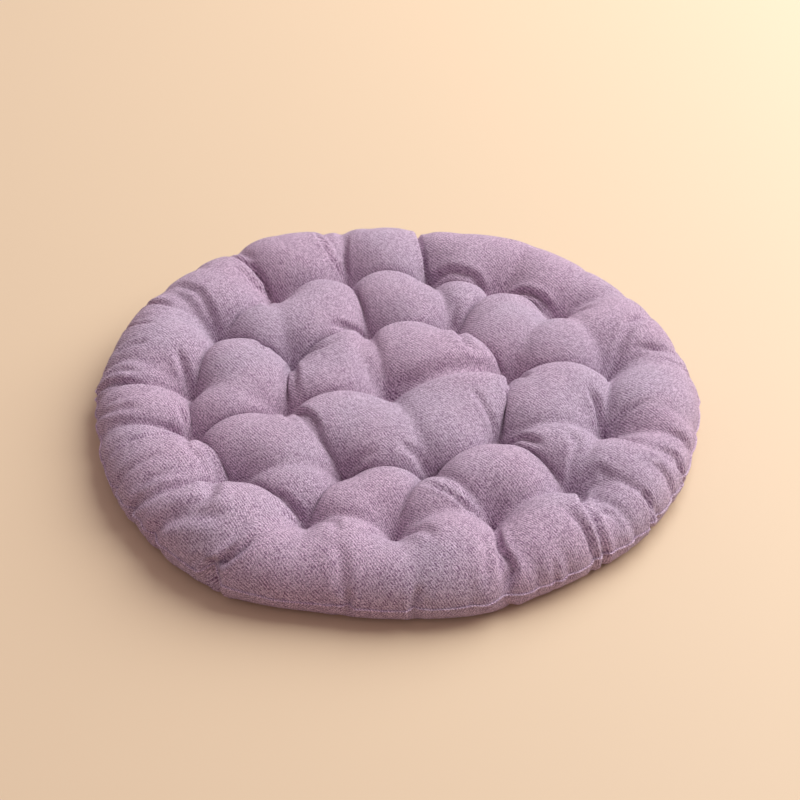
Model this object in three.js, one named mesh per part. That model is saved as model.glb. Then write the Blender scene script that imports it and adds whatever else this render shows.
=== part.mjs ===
// Meditation mat: a round floor cushion, two discs of linen-look cloth sewn together at the edge,
// filled, and drawn in by thread ties that go right through from the top panel to the base panel.
// Millimetres, +Z up, resting on z = 0. The cloth is let out flat, tied, filled and left to settle,
// so every puff, valley and fold comes from the sizes and tables below.
import * as THREE from "three";

// ---- driving dimensions -------------------------------------------------------------------------
const CUT_RADIUS = 244; // radius of each panel as cut, inside the seam
const TIE_TOP = 10; // height at which a tie holds the top panel down
const TIE_BASE = 9; // height at which the same tie holds the base panel up
const EASE_MIDDLE = 1.13; // spare length in the top panel between the ties
const EASE_ROLL = 1.26; // spare length in the top panel across the outer roll
const EASE_BASE = 1; // the base panel is sewn flat
const EASE_UNDER = 1.19; // spare length in the base panel where it turns under the edge
const EASE_SEAM = 0.97; // the seam draws the edge in a little
const EASE_TIE = 1.2; // spare length of the cloth gathered at a tie
const TIE_GATHER = 13; // how far from a tie that gathering reaches
const VALLEY_EASE = 0.94; // length along a valley between two ties of one ring, against the flat cloth
const VALLEY_HALF_WIDTH = 6; // how wide the cloth beside a valley feels the pull
const FILL_PRESSURE = 2.2e-3; // push of the filling on each square millimetre
const FILL_HEIGHT = 62; // height at which the filling stops pushing
const FILL_GIVE = 20; // how far below that its push is full
const ROLL_RISE = 12; // how much higher it stops in the outer roll
const RISE_STARTS = 120; // distance from the middle where that rise comes in
const RISE_FULL = 200; // distance from the middle where it is all there
const CLOTH_WEIGHT = 6e-4; // pull of the weight on each square millimetre
const STRETCH = 0.48; // stiffness of the cloth when it is pulled
const CRUMPLE = 0.08; // stiffness of the cloth when it is squeezed
const BEND = 0.02; // stiffness of the cloth against sharp bends
const DRAG = 0.97; // share of the speed kept at each step of settling
const SETTLE_STEPS = 2200; // steps of settling
const PUSH_EVERY = 4; // steps between two reckonings of the filling's push
const RINGS = 28; // rings of facets from the middle of a panel to its seam
const ROLL_STARTS = 0.66; // share of the radius where the ease for the outer roll comes in
const ROLL_FULL = 0.8; // share of the radius where it is all there
const GATHER_STARTS = 0.7; // share of the radius where the seam's gathering comes in
const START_HEIGHT = 22; // height of the seam before settling
const START_DOME = 12; // how far each panel bulges from that before settling
const FLOOR_GRIP = 0.9; // share of its sideways speed that cloth keeps on the floor
const SEAM_PROUD = 0.6; // how far the sewn edge stands out of the cloth
const FLAT_BELOW = 1.2; // cloth nearer the floor than this lies on it

// ---- ties: direction from the middle, anticlockwise from +X, and distance from the middle ----------
const TIES = [
  { tie: "middle", angle: 215, radius: 8 },
  { tie: "in1", angle: 12, radius: 99 },
  { tie: "in2", angle: 58, radius: 94 },
  { tie: "in3", angle: 105, radius: 87 },
  { tie: "in4", angle: 154, radius: 98 },
  { tie: "in5", angle: 196, radius: 93 },
  { tie: "in6", angle: 248, radius: 108 },
  { tie: "in7", angle: 285, radius: 104 },
  { tie: "in8", angle: 323, radius: 104 },
  { tie: "out1", angle: 8, radius: 179 },
  { tie: "out2", angle: 37, radius: 178 },
  { tie: "out3", angle: 57, radius: 168 },
  { tie: "out4", angle: 79, radius: 165 },
  { tie: "out5", angle: 105, radius: 166 },
  { tie: "out6", angle: 129, radius: 170 },
  { tie: "out7", angle: 154, radius: 170 },
  { tie: "out8", angle: 180, radius: 168 },
  { tie: "out9", angle: 199, radius: 171 },
  { tie: "out10", angle: 221, radius: 168 },
  { tie: "out11", angle: 246, radius: 168 },
  { tie: "out12", angle: 270, radius: 170 },
  { tie: "out13", angle: 296, radius: 171 },
  { tie: "out14", angle: 319, radius: 181 },
  { tie: "out15", angle: 343, radius: 177 },
];

// ---- valleys: each ring of ties is joined round by VALLEY_EASE, and these join one ring to the next or are
// drawn tighter; ease is the length left along each, against the flat cloth
const SPOKES = [
  { from: "middle", to: ["in1"], ease: 0.8 },
  { from: "middle", to: ["in3"], ease: 0.86 },
  { from: "middle", to: ["in5"], ease: 0.88 },
  { from: "middle", to: ["in7"], ease: 0.94 },
  { from: "in1", to: ["out1", "out2"], ease: 0.95 },
  { from: "in2", to: ["out3"], ease: 0.93 },
  { from: "in2", to: ["out4"], ease: 0.92 },
  { from: "in3", to: ["out5"], ease: 0.89 },
  { from: "in4", to: ["out6"], ease: 0.93 },
  { from: "in4", to: ["out7"], ease: 0.95 },
  { from: "in5", to: ["out8", "out9"], ease: 0.93 },
  { from: "in6", to: ["out10"], ease: 0.95 },
  { from: "in6", to: ["out11"], ease: 0.93 },
  { from: "in7", to: ["out12"], ease: 0.95 },
  { from: "in7", to: ["out13"], ease: 0.93 },
  { from: "in8", to: ["out14", "out15"], ease: 0.93 },
  { from: "out11", to: ["out12"], ease: 0.9 },
  { from: "out12", to: ["out13"], ease: 0.84 },
];

// ---- folds over the outer roll: from a tie to the seam, and the ease left along each ---------------
const ROLL_FOLDS = [
  { tie: "out1", angle: 14, ease: 1.02 },
  { tie: "out2", angle: 32, ease: 1.02 },
  { tie: "out3", angle: 58, ease: 1.14 },
  { tie: "out4", angle: 86, ease: 0.72 },
  { tie: "out5", angle: 102, ease: 0.92 },
  { tie: "out6", angle: 127, ease: 0.86 },
  { tie: "out7", angle: 148, ease: 1 },
  { tie: "out8", angle: 182, ease: 0.92 },
  { tie: "out9", angle: 193, ease: 0.8 },
  { tie: "out10", angle: 218, ease: 0.9 },
  { tie: "out11", angle: 249, ease: 1.3 },
  { tie: "out12", angle: 269, ease: 1.26 },
  { tie: "out13", angle: 289, ease: 0.76 },
  { tie: "out14", angle: 312, ease: 0.98 },
  { tie: "out15", angle: 343, ease: 1 },
];

// ---- outline as cut: share of CUT_RADIUS by direction ----------------------------------------------
const OUTLINE = [
  { angle: 0, share: 1 },
  { angle: 20, share: 1.018 },
  { angle: 42, share: 1.02 },
  { angle: 58, share: 1 },
  { angle: 75, share: 0.985 },
  { angle: 110, share: 0.995 },
  { angle: 135, share: 1.03 },
  { angle: 155, share: 1.035 },
  { angle: 180, share: 1 },
  { angle: 210, share: 1.015 },
  { angle: 235, share: 1.01 },
  { angle: 256, share: 0.98 },
  { angle: 270, share: 0.985 },
  { angle: 285, share: 1 },
  { angle: 299, share: 0.968 },
  { angle: 317, share: 1 },
  { angle: 335, share: 1.01 },
  { angle: 360, share: 1 },
];

const rad = (deg) => (deg * Math.PI) / 180;
const polar = (angle, radius) => [radius * Math.cos(rad(angle)), radius * Math.sin(rad(angle))];
const mix = (a, b, t) => a + (b - a) * Math.min(1, Math.max(0, t));
const between = (x, low, high) => (x - low) / (high - low);

function outlineShare(angle) {
  const a = ((angle % 360) + 360) % 360;
  const k = OUTLINE.findIndex((row, i) => i > 0 && a <= row.angle);
  const lo = OUTLINE[k - 1];
  const hi = OUTLINE[k];
  return mix(lo.share, hi.share, between(a, lo.angle, hi.angle));
}

// ---- the flat cloth: rings of 6, 12, 18 ... points, a top panel and a base panel sharing the seam ----
const ringPoint = (ring, k) => (ring === 0 ? 0 : 1 + 3 * ring * (ring - 1) + (k % (6 * ring)));
const PANEL_POINTS = 1 + 3 * RINGS * (RINGS + 1);
const SEAM_START = PANEL_POINTS - 6 * RINGS;
const POINTS = PANEL_POINTS + SEAM_START;
const onBase = (i) => (i < SEAM_START ? i + PANEL_POINTS : i);

const flat = [];
for (let ring = 0; ring <= RINGS; ring++) {
  for (let k = 0; k < Math.max(1, 6 * ring); k++) {
    const share = ring / RINGS;
    const angle = ring === 0 ? 0 : (360 * k) / (6 * ring);
    const cut = 1 + (outlineShare(angle) - 1) * share * share;
    flat.push(polar(angle, CUT_RADIUS * share * cut));
  }
}

const panel = [];
for (let ring = 0; ring < RINGS; ring++) {
  for (let side = 0; side < 6; side++) {
    for (let k = 0; k <= ring; k++) {
      const near = ringPoint(ring, side * ring + k);
      const a = ringPoint(ring + 1, side * (ring + 1) + k);
      const b = ringPoint(ring + 1, side * (ring + 1) + k + 1);
      panel.push([near, a, b]);
      if (k < ring) panel.push([near, b, ringPoint(ring, side * ring + k + 1)]);
    }
  }
}
const facets = [...panel, ...panel.map(([a, b, c]) => [onBase(a), onBase(c), onBase(b)])];

// ---- valleys and folds as straight runs in the flat cloth -------------------------------------------
const tieAt = new Map(TIES.map((row) => [row.tie, polar(row.angle, row.radius)]));
const ringOf = (prefix) => TIES.filter((row) => row.tie.startsWith(prefix)).map((row) => row.tie);
const runs = [];
for (const spoke of SPOKES) {
  for (const to of spoke.to) {
    runs.push({ from: tieAt.get(spoke.from), to: tieAt.get(to), ease: spoke.ease });
  }
}
for (const ring of [ringOf("in"), ringOf("out")]) {
  ring.forEach((tie, i) =>
    runs.push({ from: tieAt.get(tie), to: tieAt.get(ring[(i + 1) % ring.length]), ease: VALLEY_EASE }),
  );
}
for (const fold of ROLL_FOLDS) {
  runs.push({ from: tieAt.get(fold.tie), to: polar(fold.angle, CUT_RADIUS), ease: fold.ease });
}

// How strongly a run holds a thread of cloth at x, y that points along ux, uy: 1 on it and in line with it.
function holdOf(run, x, y, ux, uy) {
  const dx = run.to[0] - run.from[0];
  const dy = run.to[1] - run.from[1];
  const length = Math.hypot(dx, dy);
  const t = Math.min(1, Math.max(0, ((x - run.from[0]) * dx + (y - run.from[1]) * dy) / length ** 2));
  const off = Math.hypot(x - run.from[0] - t * dx, y - run.from[1] - t * dy);
  const inLine = ((ux * dx + uy * dy) / length) ** 2;
  return Math.exp(-((off / VALLEY_HALF_WIDTH) ** 2)) * inLine;
}

// Length that a thread of cloth settles at, as a share of its flat length.
function easeOf(x, y, ux, uy, isTop) {
  const r = Math.hypot(x, y);
  const share = r / CUT_RADIUS;
  const outwards = ((ux * x + uy * y) / Math.max(r, 1)) ** 2;
  const middle = isTop ? EASE_MIDDLE : EASE_BASE;
  const roll = isTop ? EASE_ROLL : EASE_UNDER;
  const across = mix(middle, roll, between(share, ROLL_STARTS, ROLL_FULL));
  const along = mix(middle, EASE_SEAM, between(share, GATHER_STARTS, 1));
  const ease = across * outwards + along * (1 - outwards);
  if (!isTop) return ease;
  let strongest = { hold: 0, ease };
  for (const run of runs) {
    const hold = holdOf(run, x, y, ux, uy);
    if (hold > strongest.hold) strongest = { hold, ease: run.ease };
  }
  const drawn = mix(ease, strongest.ease, strongest.hold);
  const gap = Math.min(...[...tieAt.values()].map((tie) => Math.hypot(x - tie[0], y - tie[1])));
  return mix(drawn, EASE_TIE, Math.exp(-((gap / TIE_GATHER) ** 2)));
}

const onSeam = (i) => i >= SEAM_START && i < PANEL_POINTS;
const threads = [];
const seen = new Set();
for (const [p, q, r] of facets) {
  for (const [a, b] of [[p, q], [q, r], [r, p]]) {
    const key = Math.min(a, b) * POINTS + Math.max(a, b);
    if (seen.has(key)) continue;
    seen.add(key);
    const [ax, ay] = flat[a % PANEL_POINTS];
    const [bx, by] = flat[b % PANEL_POINTS];
    const length = Math.hypot(bx - ax, by - ay);
    const isTop = Math.max(a, b) < PANEL_POINTS;
    const loose = easeOf((ax + bx) / 2, (ay + by) / 2, (bx - ax) / length, (by - ay) / length, isTop);
    const ease = onSeam(a) && onSeam(b) ? EASE_SEAM : loose;
    threads.push({ a, b, rest: length * ease });
  }
}

// ---- each tie holds the nearest point of both panels --------------------------------------------------
const held = new Map();
for (const [x, y] of tieAt.values()) {
  const reach = flat.slice(0, SEAM_START).map((point) => Math.hypot(point[0] - x, point[1] - y));
  const nearest = reach.indexOf(Math.min(...reach));
  held.set(nearest, [x, y, TIE_TOP]);
  held.set(onBase(nearest), [x, y, TIE_BASE]);
}

// ---- settling: filling pushes out, weight pulls down, cloth resists, the floor stops it --------------
const neighbours = new Float64Array(POINTS);
for (const { a, b } of threads) {
  neighbours[a]++;
  neighbours[b]++;
}

function puffedStart() {
  const at = new Float64Array(POINTS * 3);
  for (let i = 0; i < POINTS; i++) {
    const [x, y] = flat[i % PANEL_POINTS];
    const dome = START_DOME * Math.sqrt(Math.max(0, 1 - (Math.hypot(x, y) / CUT_RADIUS) ** 2));
    const side = onSeam(i) ? 0 : i < PANEL_POINTS ? 1 : -1;
    at.set([x, y, START_HEIGHT + side * dome], i * 3);
  }
  return at;
}

// Share of its push that the filling still has at a point: full low down, none at its own full height.
function loftAt(point) {
  const rise = mix(0, ROLL_RISE, between(Math.hypot(point.x, point.y), RISE_STARTS, RISE_FULL));
  return Math.min(1, Math.max(-1, (FILL_HEIGHT + rise - point.z) / FILL_GIVE));
}

// The filling's push along each facet's normal, and the cloth's weight, shared by its three corners.
function addPush(at, push) {
  const corner = (i) => new THREE.Vector3(at[i * 3], at[i * 3 + 1], at[i * 3 + 2]);
  push.fill(0);
  for (const facet of facets) {
    const [p, q, r] = facet.map(corner);
    const fill = (FILL_PRESSURE * (loftAt(p) + loftAt(q) + loftAt(r))) / 3;
    const normal = q.sub(p).cross(r.sub(p)).divideScalar(6);
    const weight = CLOTH_WEIGHT * normal.length();
    for (const i of facet) {
      push[i * 3] += fill * normal.x;
      push[i * 3 + 1] += fill * normal.y;
      push[i * 3 + 2] += fill * normal.z - weight;
    }
  }
}

// Each thread pulls its two ends together or apart; bend gathers how far a point stands off its neighbours.
function addStretch(at, force, bend) {
  bend.fill(0);
  for (const { a, b, rest } of threads) {
    const d = [0, 1, 2].map((c) => at[b * 3 + c] - at[a * 3 + c]);
    const length = Math.hypot(...d);
    const pull = ((length - rest) / length) * (length > rest ? STRETCH : CRUMPLE);
    for (let c = 0; c < 3; c++) {
      force[a * 3 + c] += pull * d[c];
      force[b * 3 + c] -= pull * d[c];
      bend[a * 3 + c] += d[c] / neighbours[a];
      bend[b * 3 + c] -= d[c] / neighbours[b];
    }
  }
}

function addBend(bend, force) {
  for (const { a, b } of threads) {
    for (let c = 0; c < 3; c++) {
      const d = BEND * (bend[b * 3 + c] - bend[a * 3 + c]);
      force[a * 3 + c] -= d / neighbours[a];
      force[b * 3 + c] += d / neighbours[b];
    }
  }
}

function holdTies(at, speed) {
  for (const [i, point] of held) {
    at.set(point, i * 3);
    speed.fill(0, i * 3, i * 3 + 3);
  }
}

function stopAtFloor(at, speed) {
  for (let i = 0; i < POINTS; i++) {
    if (at[i * 3 + 2] >= 0) continue;
    at[i * 3 + 2] = 0;
    speed[i * 3] *= FLOOR_GRIP;
    speed[i * 3 + 1] *= FLOOR_GRIP;
    speed[i * 3 + 2] = 0;
  }
}

function settle() {
  const at = puffedStart();
  const [speed, force, push, bend] = [0, 1, 2, 3].map(() => new Float64Array(POINTS * 3));
  for (let step = 0; step < SETTLE_STEPS; step++) {
    if (step % PUSH_EVERY === 0) addPush(at, push);
    force.set(push);
    addStretch(at, force, bend);
    addBend(bend, force);
    for (let i = 0; i < POINTS * 3; i++) {
      speed[i] = (speed[i] + force[i]) * DRAG;
      at[i] += speed[i];
    }
    holdTies(at, speed);
    stopAtFloor(at, speed);
  }
  return at;
}

// ---- the finished cushion: seam stood proud, floor contact made flat, centred on the axis -------------
const cloth = settle();
for (let i = SEAM_START; i < PANEL_POINTS; i++) {
  const r = Math.hypot(cloth[i * 3], cloth[i * 3 + 1]);
  cloth[i * 3] *= 1 + SEAM_PROUD / r;
  cloth[i * 3 + 1] *= 1 + SEAM_PROUD / r;
}
for (let i = 0; i < POINTS; i++) if (cloth[i * 3 + 2] < FLAT_BELOW) cloth[i * 3 + 2] = 0;

const geometry = new THREE.BufferGeometry();
geometry.setAttribute("position", new THREE.BufferAttribute(new Float32Array(cloth), 3));
geometry.setIndex(facets.flat());
geometry.computeBoundingBox();
const { min, max } = geometry.boundingBox;
geometry.translate(-(min.x + max.x) / 2, -(min.y + max.y) / 2, -min.z);
geometry.computeVertexNormals();

const cushion = new THREE.Mesh(
  geometry,
  new THREE.MeshStandardMaterial({ name: "fabric", color: 0xa38bab, roughness: 0.95, metalness: 0 }),
);
cushion.name = "cushion";

const mat = new THREE.Group();
mat.name = "meditation_mat";
mat.add(cushion);
export default mat;
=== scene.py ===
"""Meditation mat: a round floor cushion of linen-look cloth, filled and drawn in by thread ties."""

import math

import bpy
import numpy as np
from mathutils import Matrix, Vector


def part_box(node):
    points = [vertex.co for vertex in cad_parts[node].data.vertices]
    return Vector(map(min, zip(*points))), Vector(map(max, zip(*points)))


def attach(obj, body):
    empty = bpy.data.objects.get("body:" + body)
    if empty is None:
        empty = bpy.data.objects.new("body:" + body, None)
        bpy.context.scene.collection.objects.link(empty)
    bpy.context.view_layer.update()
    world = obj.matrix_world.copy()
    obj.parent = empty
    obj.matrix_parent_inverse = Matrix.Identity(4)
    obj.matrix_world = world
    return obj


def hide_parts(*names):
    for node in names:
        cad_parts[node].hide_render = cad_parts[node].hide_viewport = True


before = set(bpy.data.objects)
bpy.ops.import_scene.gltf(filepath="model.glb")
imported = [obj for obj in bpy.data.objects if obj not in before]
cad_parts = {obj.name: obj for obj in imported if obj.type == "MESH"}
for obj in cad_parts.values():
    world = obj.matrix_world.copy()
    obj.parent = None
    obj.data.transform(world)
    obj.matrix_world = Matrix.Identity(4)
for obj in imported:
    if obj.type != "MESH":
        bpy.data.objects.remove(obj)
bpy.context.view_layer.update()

# ---- Camera ------------------------------------------------------------------------------------------
# It stands in front of the mat and above it, and looks down along +Y at it as it lies on the floor.
EYE = Vector((0.0024, -1.092, 0.8945))
LOOKS_DOWN = math.radians(38.72)
LENS = 75.0
SENSOR_WIDTH = 36.0

eye = bpy.data.cameras.new("camera")
eye.lens = LENS
eye.sensor_width = SENSOR_WIDTH
camera = bpy.data.objects.new("camera", eye)
camera.location = EYE
camera.rotation_euler = (math.pi / 2 - LOOKS_DOWN, 0.0, 0.0)
bpy.context.collection.objects.link(camera)
bpy.context.scene.camera = camera

# ---- Cut cloth ---------------------------------------------------------------------------------------
# Two discs of the same cloth, a top panel and a base panel, joined all round the edge. Each is laid out
# flat as rings of 6, 12, 18 ... points, and both share the ring of points along the seam.
MM = 0.001
CUT_RADIUS = 244.0
OUTLINE = [  # how far from round it was cut: direction in degrees, share of the cut radius
    (0, 1.0), (20, 1.018), (42, 1.02), (58, 1.0), (75, 0.985), (110, 0.995), (135, 1.03), (155, 1.035),
    (180, 1.0), (210, 1.015), (235, 1.01), (256, 0.98), (270, 0.985), (285, 1.0), (299, 0.968),
    (317, 1.0), (335, 1.01), (360, 1.0),
]


def polar(angle, radius):
    """The place on the flat cloth that lies in this direction, this far from the middle."""
    return np.array([math.cos(math.radians(angle)), math.sin(math.radians(angle))]) * radius


class Cloth:
    """The flat cloth at one fineness: its points, facets and threads."""

    def __init__(self, rings):
        self.rings = rings
        self.ring = np.concatenate([np.full(max(1, 6 * i), i) for i in range(rings + 1)])
        self.step = np.concatenate([np.arange(max(1, 6 * i)) for i in range(rings + 1)])
        self.panel = len(self.ring)
        self.seam = self.panel - 6 * rings
        self.count = self.panel + self.seam
        share = self.ring / rings
        angle = 360.0 * self.step / np.maximum(6 * self.ring, 1)
        cut = 1 + (np.interp(angle, *zip(*OUTLINE)) - 1) * share**2
        radius = CUT_RADIUS * share * cut
        disc = np.stack([radius * np.cos(np.radians(angle)), radius * np.sin(np.radians(angle))], 1)
        self.flat = np.concatenate([disc, disc[: self.seam]])
        self.facets = self.facet_list()
        edges = [self.facets[:, corners] for corners in ([0, 1], [1, 2], [2, 0])]
        self.threads = np.unique(np.sort(np.concatenate(edges), 1), axis=0)
        index = np.arange(self.count)
        self.side = np.where(index < self.seam, 1, np.where(index < self.panel, 0, -1))

    def at(self, ring, step):
        """The number of the point that is this many steps round a ring."""
        ring = np.asarray(ring)
        return np.where(ring == 0, 0, 1 + 3 * ring * (ring - 1) + np.mod(step, np.maximum(6 * ring, 1)))

    def facet_list(self):
        """The triangles of the top panel, then the same ones of the base panel turned over."""
        rows = []
        for ring in range(self.rings):
            for side in range(6):
                k = np.arange(ring + 1)
                near = self.at(ring, side * ring + k)
                a = self.at(ring + 1, side * (ring + 1) + k)
                b = self.at(ring + 1, side * (ring + 1) + k + 1)
                rows.append(np.stack([near * np.ones_like(a), a, b], 1))
                if ring:
                    k = k[:-1]
                    beside = self.at(ring, side * ring + k + 1)
                    rows.append(np.stack([near[:-1], b[:-1], beside], 1))
        top = np.concatenate(rows)
        base = np.where(top < self.seam, top + self.panel, top)[:, ::-1]
        return np.concatenate([top, base])


# ---- Thread ties -------------------------------------------------------------------------------------
# Strong thread is passed through both panels and the filling and drawn tight, so that each tie makes a
# pit in the top and a shallower one in the base. They stand in two rings round one in the middle.
TIE_TOP = 10.0
TIE_BASE = 9.0
TIES = {  # name: direction from the middle in degrees, distance from the middle
    "middle": (215, 8),
    "in1": (12, 99), "in2": (58, 94), "in3": (105, 87), "in4": (154, 98),
    "in5": (196, 93), "in6": (248, 108), "in7": (285, 104), "in8": (323, 104),
    "out1": (8, 179), "out2": (37, 178), "out3": (57, 168), "out4": (79, 165), "out5": (105, 166),
    "out6": (129, 170), "out7": (154, 170), "out8": (180, 168), "out9": (199, 171), "out10": (221, 168),
    "out11": (246, 168), "out12": (270, 170), "out13": (296, 171), "out14": (319, 181), "out15": (343, 177),
}
tie_at = {name: polar(*row) for name, row in TIES.items()}

# ---- Valleys and folds -------------------------------------------------------------------------------
# Between neighbouring ties the cloth is drawn into a valley, and from each outer tie a fold runs over the
# edge roll to the seam. Ease is the length left along it, against the flat cloth.
RING_EASE = 0.94
SPOKES = [  # from, to, ease
    ("middle", "in1", 0.8), ("middle", "in3", 0.86), ("middle", "in5", 0.88), ("middle", "in7", 0.94),
    ("in1", "out1", 0.95), ("in1", "out2", 0.95), ("in2", "out3", 0.93), ("in2", "out4", 0.92),
    ("in3", "out5", 0.89), ("in4", "out6", 0.93), ("in4", "out7", 0.95), ("in5", "out8", 0.93),
    ("in5", "out9", 0.93), ("in6", "out10", 0.95), ("in6", "out11", 0.93), ("in7", "out12", 0.95),
    ("in7", "out13", 0.93), ("in8", "out14", 0.93), ("in8", "out15", 0.93), ("out11", "out12", 0.9),
    ("out12", "out13", 0.84),
]
ROLL_FOLDS = [  # tie, direction where the fold meets the seam, ease
    ("out1", 14, 1.02), ("out2", 32, 1.02), ("out3", 58, 1.14), ("out4", 86, 0.72), ("out5", 102, 0.92),
    ("out6", 127, 0.86), ("out7", 148, 1.0), ("out8", 182, 0.92), ("out9", 193, 0.8),
    ("out10", 218, 0.9), ("out11", 249, 1.3), ("out12", 269, 1.26), ("out13", 289, 0.76),
    ("out14", 312, 0.98), ("out15", 343, 1.0),
]
PUCKERS = [  # small gathers along the seam: direction, how far out they start, ease
    (350, 210, 0.94), (344, 218, 0.96), (337, 200, 0.88), (331, 212, 0.94), (325, 200, 0.88),
    (318, 214, 0.94), (308, 196, 0.84), (302, 218, 0.96), (296, 222, 0.96), (283, 226, 1.0),
    (274, 224, 0.94), (261, 222, 0.94), (239, 200, 0.85), (215, 206, 0.88), (208, 222, 0.96),
    (201, 212, 0.94), (187, 218, 0.94), (174, 208, 0.92), (168, 222, 0.96), (161, 216, 0.94),
    (154, 214, 0.92), (148, 224, 0.96), (139, 216, 0.94), (130, 196, 0.9), (118, 222, 1.0),
    (107, 190, 0.88), (96, 220, 0.98), (74, 224, 1.0), (44, 220, 0.98), (24, 216, 0.96), (5, 214, 0.96),
    (358, 222, 0.98),
]
VALLEY_HALF_WIDTH = 6.0
CREASE_HALF_WIDTH = 3.5


def ring_runs(prefix):
    """The valleys that join the ties of one ring, each to the next."""
    names = [name for name in TIES if name.startswith(prefix)]
    pairs = zip(names, names[1:] + names[:1])
    return [(tie_at[a], tie_at[b], RING_EASE, VALLEY_HALF_WIDTH) for a, b in pairs]


runs = [(tie_at[a], tie_at[b], ease, VALLEY_HALF_WIDTH) for a, b, ease in SPOKES]
runs += ring_runs("in") + ring_runs("out")
for tie, angle, ease in ROLL_FOLDS:
    runs.append((tie_at[tie], polar(angle, CUT_RADIUS), ease, VALLEY_HALF_WIDTH))
for angle, start, ease in PUCKERS:
    runs.append((polar(angle, start), polar(angle, CUT_RADIUS), ease, CREASE_HALF_WIDTH))

# ---- Let-out of the cloth ----------------------------------------------------------------------------
# The top panel is let out so that the filling can puff it up between the ties, and most of all over the
# edge roll. The base panel is let out under the roll alone, and the seam gathers the edge a little.
EASE_MIDDLE = 1.13
EASE_ROLL = 1.26
EASE_BASE = 1.0
EASE_UNDER = 1.19
EASE_SEAM = 0.97
EASE_TIE = 1.2
TIE_GATHER = 13.0
ROLL_STARTS, ROLL_FULL = 0.66, 0.8
GATHER_STARTS = 0.7


def thread_lengths(cloth):
    """The length at which each thread of the cloth neither pulls nor pushes."""
    a, b = cloth.flat[cloth.threads[:, 0]], cloth.flat[cloth.threads[:, 1]]
    length = np.linalg.norm(b - a, axis=1)
    along, middle = (b - a) / length[:, None], (a + b) / 2
    radius = np.linalg.norm(middle, axis=1)
    share = radius / CUT_RADIUS
    outwards = ((along * middle).sum(1) / np.maximum(radius, 1)) ** 2
    side = cloth.side[cloth.threads].sum(1)
    top = side > 0
    inner = np.where(top, EASE_MIDDLE, EASE_BASE)
    roll = np.where(top, EASE_ROLL, EASE_UNDER)
    across = inner + (roll - inner) * np.clip((share - ROLL_STARTS) / (ROLL_FULL - ROLL_STARTS), 0, 1)
    around = inner + (EASE_SEAM - inner) * np.clip((share - GATHER_STARTS) / (1 - GATHER_STARTS), 0, 1)
    ease = across * outwards + around * (1 - outwards)
    hold, held = np.zeros(len(ease)), ease.copy()
    for start, end, run_ease, half_width in runs:
        run = end - start
        size = np.linalg.norm(run)
        t = np.clip((middle - start) @ run / size**2, 0, 1)
        off = np.linalg.norm(middle - start - t[:, None] * run, axis=1)
        grip = np.exp(-((off / half_width) ** 2)) * (along @ run / size) ** 2
        held = np.where(grip > hold, run_ease, held)
        hold = np.maximum(grip, hold)
    ease = np.where(top, ease + (held - ease) * hold, ease)
    gap = np.min([np.linalg.norm(middle - spot, axis=1) for spot in tie_at.values()], 0)
    ease = ease + (EASE_TIE - ease) * np.exp(-((gap / TIE_GATHER) ** 2)) * top
    return length * np.where(side == 0, EASE_SEAM, ease)


# ---- Filling and settling ----------------------------------------------------------------------------
# The filling pushes both panels out, the weight pulls them down, the ties and the seam hold them, and the
# floor stops them. The cloth settles coarse first, and then at twice and four times the fineness.
FILL_PRESSURE = 2.2e-3
CLOTH_WEIGHT = 6e-4
FILL_HEIGHT = 62.0
FILL_GIVE = 20.0
ROLL_RISE = 12.0
RISE_STARTS, RISE_FULL = 120.0, 200.0
STRETCH = 0.48
CRUMPLE = 0.08
BEND = 0.02
DRAG = 0.97
PUSH_EVERY = 4
FLOOR_GRIP = 0.9
START_HEIGHT, START_DOME = 22.0, 12.0
STAGES = [(28, 1500), (56, 600), (112, 200)]  # rings, steps of settling


def gathered(cloth, points, values):
    """The sum, at each point of the cloth, of the values listed for it."""
    return np.stack([np.bincount(points, values[:, c], cloth.count) for c in range(3)], 1)


def settle(cloth, place, steps):
    """The places that the cloth comes to, pushed and pulled for this many steps."""
    rest = thread_lengths(cloth)
    a, b = cloth.threads.T
    both, corners = np.concatenate([a, b]), cloth.facets.T.ravel()
    neighbours = np.bincount(both, minlength=cloth.count)[:, None]
    tied, tied_at = [], []
    for spot in tie_at.values():
        nearest = np.argmin(np.linalg.norm(cloth.flat[: cloth.seam] - spot, axis=1))
        tied += [nearest, nearest + cloth.panel]
        tied_at += [(*spot, TIE_TOP), (*spot, TIE_BASE)]
    speed = np.zeros_like(place)
    for step in range(steps):
        if step % PUSH_EVERY == 0:
            p, q, r = (place[cloth.facets[:, c]] for c in range(3))
            normal = np.cross(q - p, r - p) / 6
            outwards = np.clip((np.hypot(*place[:, :2].T) - RISE_STARTS) / (RISE_FULL - RISE_STARTS), 0, 1)
            full = FILL_HEIGHT + ROLL_RISE * outwards
            loft = np.clip((full - place[:, 2]) / FILL_GIVE, -1, 1)
            push = FILL_PRESSURE * normal * loft[cloth.facets].mean(1)[:, None]
            push[:, 2] -= CLOTH_WEIGHT * np.linalg.norm(normal, axis=1)
            push = gathered(cloth, corners, np.concatenate([push] * 3))
        d = place[b] - place[a]
        length = np.sqrt((d * d).sum(1))
        pull = (length - rest) / length
        pull = (pull * np.where(pull > 0, STRETCH, CRUMPLE))[:, None] * d
        force = push + gathered(cloth, both, np.concatenate([pull, -pull]))
        bend = gathered(cloth, both, np.concatenate([d, -d])) / neighbours
        d = bend[b] - bend[a]
        force -= BEND * gathered(cloth, both, np.concatenate([d, -d])) / neighbours
        speed = (speed + force) * DRAG
        place = place + speed
        place[tied], speed[tied] = tied_at, 0
        low = place[:, 2] < 0
        place[low, 2] = 0
        speed[low] *= (FLOOR_GRIP, FLOOR_GRIP, 0)
    return place


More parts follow.
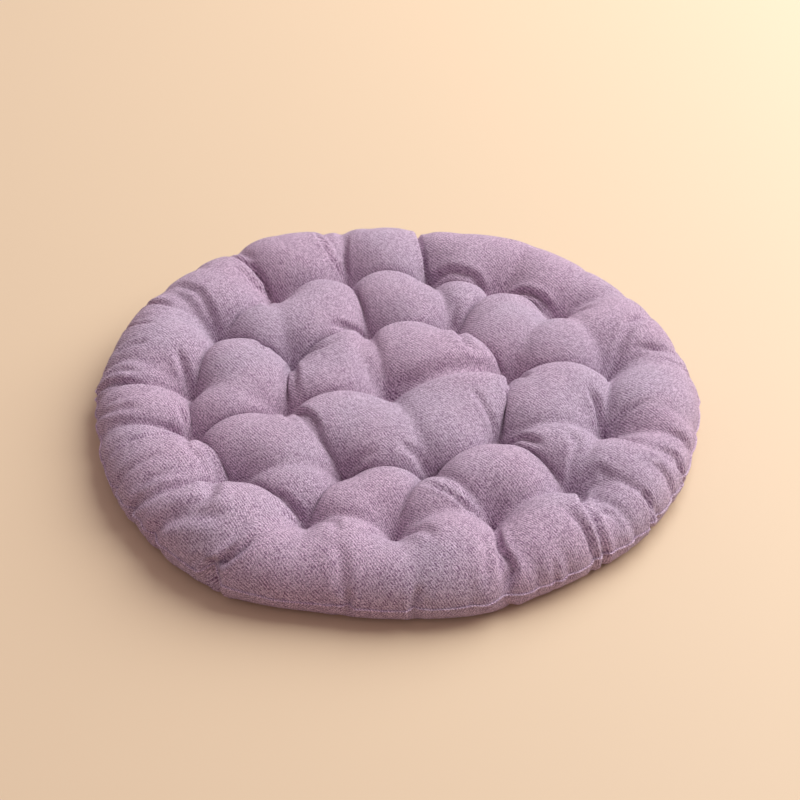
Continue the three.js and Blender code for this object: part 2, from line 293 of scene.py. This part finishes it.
def finer(cloth, fine, place):
    """The same shape on cloth of twice the fineness."""
    side, step = np.divmod(fine.step, np.maximum(fine.ring, 1))
    inner, outer = fine.ring // 2, (fine.ring + 1) // 2
    a = cloth.at(inner, side * inner + step // 2)
    b = cloth.at(outer, side * outer + (step + 1) // 2)
    top = (place[a] + place[b]) / 2
    base_a = np.where(a < cloth.seam, a + cloth.panel, a)
    base_b = np.where(b < cloth.seam, b + cloth.panel, b)
    base = (place[base_a] + place[base_b]) / 2
    return np.concatenate([top, base[: fine.seam]])


def settled_cushion():
    """The filled cushion at the last stage of settling, as its cloth and the places of its points."""
    cloth, place = None, None
    for rings, steps in STAGES:
        fine = Cloth(rings)
        if cloth is None:
            share = np.linalg.norm(fine.flat, axis=1) / CUT_RADIUS
            dome = START_DOME * np.sqrt(np.clip(1 - share**2, 0, 1))
            place = np.column_stack([fine.flat, START_HEIGHT + fine.side * dome])
        else:
            place = finer(cloth, fine, place)
        place = settle(fine, place, steps)
        cloth = fine
    return cloth, place


# ---- Creases and tucks -------------------------------------------------------------------------------
# Where the cloth is gathered it presses into sharp creases, finer than the settling above can make them:
# deep ones over the edge roll, short ones that run into the ties, and small tucks all along the seam.
CREASE_DEPTH = 12.0
CREASE_LIP = 0.3
LIP_OFFSET = 2.2
CREASE_FADE = 0.25
CREASE_SWAY = 1.0
FOLD_HALF_WIDTH = 3.0
PUCKER_HALF_WIDTH = 2.6
PAST_SEAM = 250
FOLD_MIDDLE, FOLD_END, FOLD_TURNED = 212, 236, 0.7
SWAY_SEED = 5
BAND_STARTS, BAND_FULL, BAND_SHARE = 218.0, 234.0, 0.7
WRINKLES = [  # path over the flat cloth as (direction, distance from the middle), depth, half width
    # Valleys between the middle and the inner ties.
    ([(200, 14), (0, 24), (8, 60), (12, 94)], 5.0, 8.0),
    ([(105, 80), (135, 40), (200, 14)], 3.0, 7.0),
    ([(338, 58), (327, 80), (322, 98)], 2.4, 2.4),
    ([(154, 94), (149, 84), (146, 70), (136, 62)], 3.0, 3.4),
    # Small creases that run into the inner ties.
    ([(156, 92), (172, 78), (188, 78)], 3.6, 2.6),
    ([(158, 99), (172, 96), (184, 96)], 2.8, 2.4),
    ([(156, 106), (160, 122), (151, 142)], 2.2, 2.8),
    ([(158, 112), (166, 122), (163, 134)], 1.6, 2.4),
    ([(105, 88), (120, 90), (128, 97)], 3.8, 2.6),
    ([(104, 80), (112, 70), (122, 60)], 2.4, 3.0),
    ([(204, 90), (219, 84), (233, 90)], 3.8, 2.6),
    ([(200, 96), (212, 100), (222, 104)], 2.2, 2.6),
    ([(56, 88), (42, 68), (31, 64), (20, 68)], 3.0, 2.8),
    ([(60, 98), (64, 112), (64, 126)], 2.4, 2.8),
    ([(12, 98), (350, 82), (340, 96)], 3.0, 2.6),
    ([(13, 102), (4, 104), (356, 110)], 2.4, 2.6),
    ([(323, 106), (327, 124), (325, 148)], 4.0, 2.4),
    ([(321, 110), (320, 128), (321, 146)], 3.0, 2.4),
    ([(248, 104), (255, 92), (262, 84)], 2.4, 2.8),
    ([(285, 100), (280, 86), (270, 78)], 2.4, 3.0),
    # Creases that run into the outer ties and over the roll.
    ([(281, 134), (286, 150), (290, 162), (296, 170)], 4.0, 2.4),
    ([(285, 136), (290, 150), (294, 160)], 2.8, 2.2),
    ([(295, 180), (292, 204), (292, 222), (289, 240)], 5.4, 2.6),
    ([(288, 198), (287, 216), (285, 234)], 2.0, 2.8),
    ([(322, 184), (313, 204), (311, 222), (310, 246)], 4.6, 2.8),
    ([(309, 214), (308, 226), (307, 240)], 2.0, 2.4),
    ([(313, 206), (316, 222), (315, 236)], 1.6, 2.6),
    ([(319, 178), (330, 166), (333, 150)], 2.6, 2.8),
    ([(321, 184), (326, 190), (324, 204)], 2.4, 2.8),
    ([(343, 178), (349, 164), (353, 152)], 4.2, 2.8),
    ([(343, 180), (348, 188), (351, 202)], 3.0, 2.6),
    ([(341, 182), (338, 194), (337, 208)], 2.4, 2.8),
    ([(8, 180), (14, 192), (20, 206), (22, 230)], 3.4, 3.0),
    ([(57, 168), (50, 178), (44, 181), (38, 182)], 5.0, 2.4),
    ([(58, 164), (49, 168), (42, 176)], 4.2, 2.4),
    ([(82, 169), (73, 173), (66, 171), (58, 160)], 3.8, 3.0),
    ([(79, 168), (83, 192), (85, 218), (86, 244)], 4.0, 2.2),
    ([(105, 168), (109, 182), (110, 198), (110, 222)], 5.0, 2.4),
    ([(105, 172), (104, 192), (102, 210)], 3.0, 2.4),
    ([(129, 171), (129, 188), (129, 206), (131, 228)], 5.5, 2.4),
    ([(131, 176), (133, 192), (134, 210)], 3.0, 2.4),
    ([(129, 168), (136, 156), (138, 142)], 2.4, 2.8),
    ([(153, 172), (150, 184), (147, 204), (147, 232)], 2.8, 3.0),
    ([(180, 170), (174, 178), (169, 190)], 2.8, 2.8),
    ([(180, 170), (183, 190), (181, 214), (179, 246)], 4.0, 2.6),
    ([(199, 171), (194, 178), (190, 184)], 3.0, 2.6),
    ([(200, 172), (203, 196), (202, 216), (202, 240)], 4.2, 2.6),
    ([(199, 174), (208, 190), (216, 188)], 2.4, 3.0),
    ([(220, 180), (220, 204), (217, 230), (214, 250)], 3.4, 3.4),
    ([(221, 186), (229, 206), (224, 234), (222, 250)], 4.0, 4.6),
    ([(221, 178), (214, 176), (208, 182)], 3.0, 2.8),
    ([(236, 208), (229, 220), (224, 236)], 3.4, 4.6),
    ([(247, 170), (242, 176), (236, 174)], 3.2, 2.8),
    ([(246, 166), (240, 158), (235, 158)], 2.4, 2.8),
    ([(250, 168), (256, 178), (258, 196)], 2.2, 3.4),
    ([(258, 198), (260, 213), (261, 232)], 1.6, 4.0),
    ([(271, 172), (277, 184), (279, 200)], 2.2, 3.4),
    ([(269, 174), (264, 186), (263, 202)], 1.8, 3.4),
    ([(40, 176), (34, 188), (28, 196)], 2.4, 3.0),
    # Tucks along the seam.
    ([(326, 222), (324, 234), (322, 248)], 3.8, 2.2),
    ([(332, 216), (332, 230), (331, 242)], 2.4, 2.4),
    ([(337, 216), (338, 232), (336, 246)], 2.8, 2.2),
    ([(343, 216), (344, 230), (343, 244)], 1.8, 2.4),
    ([(300, 220), (299, 232), (299, 242)], 1.4, 2.4),
    ([(274, 226), (273, 238), (273, 250)], 3.4, 2.8),
    ([(262, 228), (262, 240), (262, 250)], 3.2, 2.8),
    ([(237, 250), (238, 236), (241, 220), (243, 206)], 6.0, 2.4),
    ([(233, 246), (235, 236)], 2.0, 2.4),
    ([(210, 206), (209, 226), (208, 246)], 2.4, 3.0),
    ([(192, 206), (190, 226), (187, 244)], 2.4, 2.8),
    ([(178, 206), (177, 222), (178, 240)], 2.6, 2.4),
    ([(169, 208), (170, 219), (171, 232)], 3.8, 2.2),
    ([(163, 210), (162, 230), (161, 246)], 2.6, 2.4),
    ([(155, 206), (154, 228), (153, 246)], 2.4, 2.6),
    ([(14, 202), (12, 222), (11, 250)], 3.4, 2.6),
    ([(8, 208), (7, 226), (6, 246)], 2.0, 2.6),
]

# At one place the seam is caught up in a fold, so that it is pushed in and lifted there.
CAUGHT_AT = polar(237, 243)
CAUGHT_IN, CAUGHT_UP, CAUGHT_HALF_WIDTH = 9.0, 9.0, 6.5

sway = np.random.default_rng(SWAY_SEED)
creases = list(WRINKLES)
for tie, angle, ease in ROLL_FOLDS:
    turned = (1 - FOLD_TURNED) * TIES[tie][0] + FOLD_TURNED * angle
    halfway = (turned + sway.normal() * CREASE_SWAY, FOLD_MIDDLE)
    path = [TIES[tie], halfway, (angle, FOLD_END)]
    creases.append((path, CREASE_DEPTH * (1 - ease), FOLD_HALF_WIDTH))
for angle, start, ease in PUCKERS:
    halfway = (angle + sway.normal() * CREASE_SWAY, (start + PAST_SEAM) / 2)
    path = [(angle, start), halfway, (angle, PAST_SEAM)]
    creases.append((path, CREASE_DEPTH * (1 - ease), PUCKER_HALF_WIDTH))


def outward_normals(cloth, place):
    """The direction straight out of the cushion at each point of the cloth."""
    p, q, r = (place[cloth.facets[:, c]] for c in range(3))
    face = np.cross(q - p, r - p)
    normal = gathered(cloth, cloth.facets.T.ravel(), np.concatenate([face] * 3))
    return normal / np.linalg.norm(normal, axis=1)[:, None]


def beside(cloth, path):
    """How far each point of the flat cloth is from a path, and what share of the path is behind it."""
    spots = np.array([polar(*spot) for spot in path])
    legs = np.diff(spots, axis=0)
    lengths = np.linalg.norm(legs, axis=1)
    off, travelled = np.full(cloth.count, np.inf), np.zeros(cloth.count)
    for start, leg, length, before in zip(spots, legs, lengths, np.cumsum(lengths) - lengths):
        t = np.clip((cloth.flat - start) @ leg / length**2, 0, 1)
        gap = np.linalg.norm(cloth.flat - start - t[:, None] * leg, axis=1)
        travelled = np.where(gap < off, before + t * length, travelled)
        off = np.minimum(gap, off)
    return off, travelled / lengths.sum()


def pressed(cloth, place):
    """The settled cloth with its creases pressed in, each a valley between two low lips."""
    shift = np.zeros(cloth.count)
    for path, depth, half_width in creases:
        if depth <= 0:
            continue
        off, share = beside(cloth, path)
        left = np.ones(cloth.count) if path[-1][1] > CUT_RADIUS else 1 - share
        fade = np.clip(np.minimum(share, left) / CREASE_FADE, 0, 1)
        valley = np.exp(-((off / half_width) ** 2))
        lips = np.exp(-((off / half_width - LIP_OFFSET) ** 2))
        shift -= depth * fade * (valley - CREASE_LIP * lips)
    radius = np.linalg.norm(cloth.flat, axis=1)
    band = np.clip((radius - BAND_STARTS) / (BAND_FULL - BAND_STARTS), 0, 1)
    shift *= np.where(cloth.side < 0, band * BAND_SHARE, 1)
    place = place + outward_normals(cloth, place) * shift[:, None]
    caught = np.exp(-((np.linalg.norm(cloth.flat - CAUGHT_AT, axis=1) / CAUGHT_HALF_WIDTH) ** 2))
    place[:, :2] -= CAUGHT_IN * caught[:, None] * CAUGHT_AT / np.linalg.norm(CAUGHT_AT)
    place[:, 2] = np.maximum(place[:, 2] + CAUGHT_UP * caught, 0)
    return place


# ---- Cushion cover -----------------------------------------------------------------------------------
# The two panels as the filling and the ties leave them: one closed skin with its crown, drawn-in sides and
# pits, flat only underneath where it rests. The cover is a heathered cotton and linen weave.
YARN_PITCH = 0.6
YARN_BIAS = math.radians(-3.0)
YARN_RISE = 0.0005
YARN_WOBBLE = 2.4
LIGHT_YARN = (0.98, 0.77, 0.94, 1)
DARK_YARN = (0.18, 0.065, 0.17, 1)
YARN_GAP_SHADE = (0.11, 0.05, 0.115, 1)
HEATHER_SHARE, SLUB_SHARE, WARP_SHARE = 0.72, 0.1, 0.36
GREY_TINT = (0.96, 1.0, 1.0, 1)
PINK_TINT = (1.0, 0.96, 0.98, 1)
SEAM_HIGHLIGHT_TINT = (1.32, 1.32, 1.3, 1)
SEAM_LEVEL = 2.0
PLAIN = (1, 1, 1, 1)
TWILL_FLOAT, TWILL_REPEAT = 2.0, 4.0
WOBBLE_SCALE, SLUB_SCALE, TINT_SCALE, FUZZ_SCALE = 0.11, 0.35, 0.009, 1.6
FINE_DETAIL = 3.0
HEATHER_RANGE = (0.2, 0.8)
GAP_SHADE_RANGE = (0.1, 0.6)
TINT_RANGE = (0.4, 0.62)
FUZZ_SHARE = 0.5
CLOTH_ROUGHNESS, CLOTH_SPECULAR = 0.92, 0.25
SHEEN, SHEEN_ROUGHNESS = 0.25, 0.5
SHEEN_TINT = (0.95, 0.82, 0.95, 1)

cloth, place = settled_cushion()
place = pressed(cloth, place)
low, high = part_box("cushion")
box_middle = np.array([low.x + high.x, low.y + high.y, 0.0]) / 2
place_middle = (place.min(0) + place.max(0)) / 2
place_middle[2] = 0
place = (place - place_middle) * MM + box_middle


def smooth_mesh(name, points, facets, cloth_points):
    """A smooth mesh that keeps, at each point, where on the flat cloth it was cut."""
    mesh = bpy.data.meshes.new(name)
    mesh.from_pydata(points.tolist(), [], facets.tolist())
    mesh.polygons.foreach_set("use_smooth", [True] * len(mesh.polygons))
    mesh.attributes.new("cloth", "FLOAT_VECTOR", "POINT").data.foreach_set("vector", cloth_points.ravel())
    piece = bpy.data.objects.new(name, mesh)
    bpy.context.collection.objects.link(piece)
    return piece


panel_level = np.where(cloth.side < 0, -1.0, 0.0)
cushion = smooth_mesh("cushion_cover", place, cloth.facets, np.column_stack([cloth.flat, panel_level]))

weave = bpy.data.materials.new("lavender_weave")
weave.use_nodes = True
parts, links = weave.node_tree.nodes, weave.node_tree.links


def wired(node, *inputs):
    """The node with each input joined to the socket given for it, or set to the value given for it."""
    for slot, value in zip(node.inputs, inputs):
        if isinstance(value, bpy.types.NodeSocket):
            links.new(value, slot)
        elif value is not None:
            slot.default_value = value
    return node


def maths(operation, *inputs):
    """One sum on sockets or values."""
    node = parts.new("ShaderNodeMath")
    node.operation = operation
    return wired(node, *inputs).outputs[0]


def noise(at, scale, detail=2.0):
    """Soft uneven patches over the cloth."""
    node = wired(parts.new("ShaderNodeTexNoise"), at)
    node.inputs["Scale"].default_value = scale
    node.inputs["Detail"].default_value = detail
    return node.outputs


def random_of(*at):
    """A value from 0 to 1 that is the same wherever these three numbers are the same."""
    point = wired(parts.new("ShaderNodeCombineXYZ"), *at)
    return wired(parts.new("ShaderNodeTexWhiteNoise"), point.outputs[0]).outputs["Value"]


def blend(share, first, second, kind="MIX"):
    """Two colours mixed, or multiplied, by a share."""
    node = parts.new("ShaderNodeMix")
    node.data_type, node.blend_type = "RGBA", kind
    for slot, value in ((0, share), (6, first), (7, second)):
        if isinstance(value, bpy.types.NodeSocket):
            links.new(value, node.inputs[slot])
        else:
            node.inputs[slot].default_value = value
    return node.outputs[2]


def spread(value, low, high):
    """The value stretched so that low becomes 0 and high becomes 1."""
    return wired(parts.new("ShaderNodeMapRange"), value, low, high, 0.0, 1.0).outputs[0]


flat = parts.new("ShaderNodeAttribute")
flat.attribute_name = "cloth"
wobble = noise(flat.outputs["Vector"], WOBBLE_SCALE)["Color"]
apart = wired(parts.new("ShaderNodeSeparateXYZ"), flat.outputs["Vector"]).outputs
shove = wired(parts.new("ShaderNodeSeparateXYZ"), wobble).outputs
x = maths("MULTIPLY_ADD", shove[0], YARN_WOBBLE, apart[0])
y = maths("MULTIPLY_ADD", shove[1], YARN_WOBBLE, apart[1])
turn, lean = math.cos(YARN_BIAS) / YARN_PITCH, math.sin(YARN_BIAS) / YARN_PITCH
warp = maths("ADD", maths("MULTIPLY", x, turn), maths("MULTIPLY", y, lean))
weft = maths("SUBTRACT", maths("MULTIPLY", y, turn), maths("MULTIPLY", x, lean))
warp_yarn, weft_yarn = maths("FLOOR", warp), maths("FLOOR", weft)
warp_in, weft_in = maths("FRACT", warp), maths("FRACT", weft)

# Each yarn passes over two and under two, and each row starts one yarn further on: a two-by-two twill.
turnover = maths("FLOORED_MODULO", maths("ADD", warp_yarn, weft_yarn), TWILL_REPEAT)
warp_over = maths("LESS_THAN", turnover, TWILL_FLOAT - 0.5)


def arch(value):
    """A hump over 0 to 1: 1 in the middle, and 0 at both ends."""
    return maths("MULTIPLY", maths("MULTIPLY", value, maths("SUBTRACT", 1.0, value)), 4.0)


weft_turn = maths("SUBTRACT", turnover, TWILL_FLOAT)
warp_float = maths("MULTIPLY", maths("ADD", turnover, weft_in), 1 / TWILL_FLOAT)
weft_float = maths("MULTIPLY", maths("ADD", weft_turn, warp_in), 1 / TWILL_FLOAT)
warp_bow = maths("SQRT", maths("MAXIMUM", arch(warp_float), 0.0))
weft_bow = maths("SQRT", maths("MAXIMUM", arch(weft_float), 0.0))
warp_rise = maths("MULTIPLY", maths("SQRT", arch(warp_in)), warp_bow)
weft_rise = maths("MULTIPLY", maths("SQRT", arch(weft_in)), weft_bow)
rise = maths("ADD", maths("MULTIPLY", warp_rise, warp_over),
             maths("MULTIPLY", weft_rise, maths("SUBTRACT", 1.0, warp_over)))

# Heather: yarns are spun from light and dark fibres, so they are lighter or darker from place to place.
heather = spread(random_of(warp_yarn, weft_yarn, warp_over), *HEATHER_RANGE)
slub = noise(flat.outputs["Vector"], SLUB_SCALE, FINE_DETAIL)["Fac"]
lightness = maths("ADD", maths("MULTIPLY", heather, HEATHER_SHARE), maths("MULTIPLY", slub, SLUB_SHARE))
lightness = maths("ADD", lightness, maths("MULTIPLY", warp_over, WARP_SHARE))
yarn = blend(lightness, DARK_YARN, LIGHT_YARN)
# Where a yarn dips down under its neighbours it is darkened towards a dark gap colour: painted shade
# between the yarns.
yarn = blend(spread(rise, *GAP_SHADE_RANGE), YARN_GAP_SHADE, yarn)
tint = spread(noise(flat.outputs["Vector"], TINT_SCALE, FINE_DETAIL)["Fac"], *TINT_RANGE)
dyed = blend(1.0, yarn, blend(tint, PINK_TINT, GREY_TINT), "MULTIPLY")

# The folded edge at the seam is painted lighter than the cloth on both sides of it: a painted highlight
# where light catches the raised fold.
seam_highlight = maths("GREATER_THAN", apart[2], SEAM_LEVEL / 2)
dyed = blend(1.0, dyed, blend(seam_highlight, PLAIN, SEAM_HIGHLIGHT_TINT), "MULTIPLY")

cover = parts["Principled BSDF"]
links.new(dyed, cover.inputs["Base Color"])
cover.inputs["Roughness"].default_value = CLOTH_ROUGHNESS
cover.inputs["Specular IOR Level"].default_value = CLOTH_SPECULAR
cover.inputs["Sheen Weight"].default_value = SHEEN
cover.inputs["Sheen Roughness"].default_value = SHEEN_ROUGHNESS
cover.inputs["Sheen Tint"].default_value = SHEEN_TINT
relief = parts.new("ShaderNodeBump")
relief.inputs["Distance"].default_value = YARN_RISE
stray_fibre = noise(flat.outputs["Vector"], FUZZ_SCALE)["Fac"]
fuzz = maths("ADD", rise, maths("MULTIPLY", stray_fibre, FUZZ_SHARE))
links.new(fuzz, relief.inputs["Height"])
links.new(relief.outputs[0], cover.inputs["Normal"])
cushion.data.materials.append(weave)
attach(cushion, "root")
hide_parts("cushion")

# ---- Edge seam ---------------------------------------------------------------------------------------
# The top and base panels are machined together all round, turned right side out, and the folded edge of
# the cloth stands as a fine raised line a little above the floor, drawn in and out by the stitches.
SEAM_HALF_WIDTH = 0.85
SEAM_PROUD = 0.35
SEAM_SPACING = 1.0
SEAM_SIDES = 8
STITCH_LENGTH = 3.0
STITCH_BITE = 0.14
RUN_REACH = 2

rim = place[cloth.side == 0]
closed = np.concatenate([rim, rim[:1]])
along = np.concatenate([[0], np.cumsum(np.linalg.norm(np.diff(closed, axis=0), axis=1))])
stations = round(along[-1] / MM / SEAM_SPACING)
travel = np.arange(stations) * along[-1] / stations
line = np.column_stack([np.interp(travel, along, closed[:, c]) for c in range(3)])
run = np.roll(line, -RUN_REACH, 0) - np.roll(line, RUN_REACH, 0)
out = np.column_stack([run[:, 1], -run[:, 0], np.zeros(stations)])
out /= np.linalg.norm(out, axis=1)[:, None]
up = np.cross(out, run)
up /= np.linalg.norm(up, axis=1)[:, None]
thick = SEAM_HALF_WIDTH + STITCH_BITE * np.cos(2 * np.pi * travel / MM / STITCH_LENGTH)
rings, wrap = [], []
for side in range(SEAM_SIDES):
    turned = 2 * math.pi * side / SEAM_SIDES
    offset = SEAM_PROUD + thick * math.cos(turned)
    rings.append(line + MM * (offset[:, None] * out + (thick * math.sin(turned))[:, None] * up))
    wrap.append(np.column_stack([travel / MM, thick * turned, np.full(stations, SEAM_LEVEL)]))
k = np.arange(stations)
after = (k + 1) % stations
facets = []
for side in range(SEAM_SIDES):
    this, other = side * stations, (side + 1) % SEAM_SIDES * stations
    facets.append(np.column_stack([this + k, this + after, other + after, other + k]))
seam = smooth_mesh("edge_seam", np.concatenate(rings), np.concatenate(facets), np.concatenate(wrap))
seam.data.materials.append(weave)
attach(seam, "root")

# ---- Floor -------------------------------------------------------------------------------------------
# A plain pale floor for the mat to lie on.
FLOOR_HALF = 4.0
FLOOR_TINT = (0.7, 0.53, 0.36, 1)
FLOOR_ROUGHNESS = 0.6

floor_mesh = bpy.data.meshes.new("floor")
corners = [(x * FLOOR_HALF, y * FLOOR_HALF, 0) for x, y in ((-1, -1), (1, -1), (1, 1), (-1, 1))]
floor_mesh.from_pydata(corners, [], [(0, 1, 2, 3)])
floor = bpy.data.objects.new("floor", floor_mesh)
bpy.context.collection.objects.link(floor)
pale = bpy.data.materials.new("pale_floor")
pale.use_nodes = True
finish = pale.node_tree.nodes["Principled BSDF"]
finish.inputs["Base Color"].default_value = FLOOR_TINT
finish.inputs["Roughness"].default_value = FLOOR_ROUGHNESS
floor_mesh.materials.append(pale)

# ---- Light -------------------------------------------------------------------------------------------
# Soft daylight through a wide window behind the mat and to the right, and light from all round.
WINDOW_AT = Vector((1.9, 1.45, 2.1))
WINDOW_ACROSS = 3.8
WINDOW_POWER = 174.0
WINDOW_TINT = (0.97, 1.0, 0.98)
AROUND = 0.42
AROUND_TINT = (1.0, 0.82, 0.86, 1)

window = bpy.data.lights.new("window", "AREA")
window.shape = "DISK"
window.size = WINDOW_ACROSS
window.energy = WINDOW_POWER
window.color = WINDOW_TINT
lamp = bpy.data.objects.new("window", window)
lamp.location = WINDOW_AT
lamp.rotation_euler = (-WINDOW_AT).to_track_quat("-Z", "Y").to_euler()
bpy.context.collection.objects.link(lamp)
world = bpy.data.worlds.new("daylight")
world.use_nodes = True
world.node_tree.nodes["Background"].inputs["Color"].default_value = AROUND_TINT
world.node_tree.nodes["Background"].inputs["Strength"].default_value = AROUND
bpy.context.scene.world = world
bpy.context.scene.view_settings.view_transform = "Standard"
